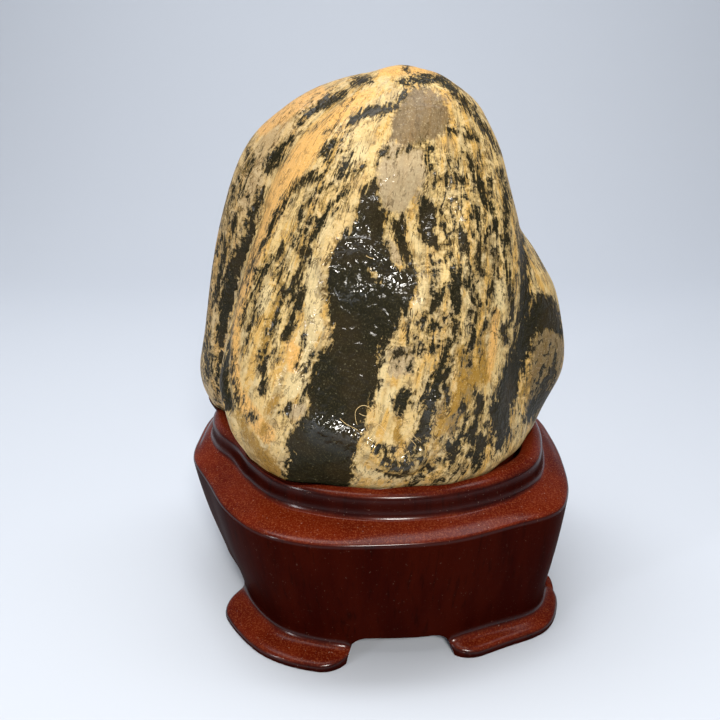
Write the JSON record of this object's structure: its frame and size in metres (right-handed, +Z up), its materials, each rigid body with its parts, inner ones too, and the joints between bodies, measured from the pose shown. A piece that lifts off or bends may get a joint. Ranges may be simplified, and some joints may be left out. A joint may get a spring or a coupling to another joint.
{
  "type": "scholar's rock on wooden stand",
  "caption": "Water-worn banded display stone of three upright lobes, standing in a carved dark wooden stand with a raised rim and low spreading feet.",
  "frame": {"origin": "on the table under the middle of the whole object's box", "axes": "+Z up, along the longest extent; -Y is the front that the picture shows; +X to the right seen from the front"},
  "size_m": [0.1001, 0.1001, 0.1303],
  "materials": {
    "stone": "polished, wet-looking; cream and ochre bands with black and grey streaks",
    "stand_wood": "dark red-brown lacquer, glossy, lightly dusty on upward faces"
  },
  "bodies": {
    "root": {"stone": "stone", "stand": "stand_wood"}
  },
  "joints": []
}
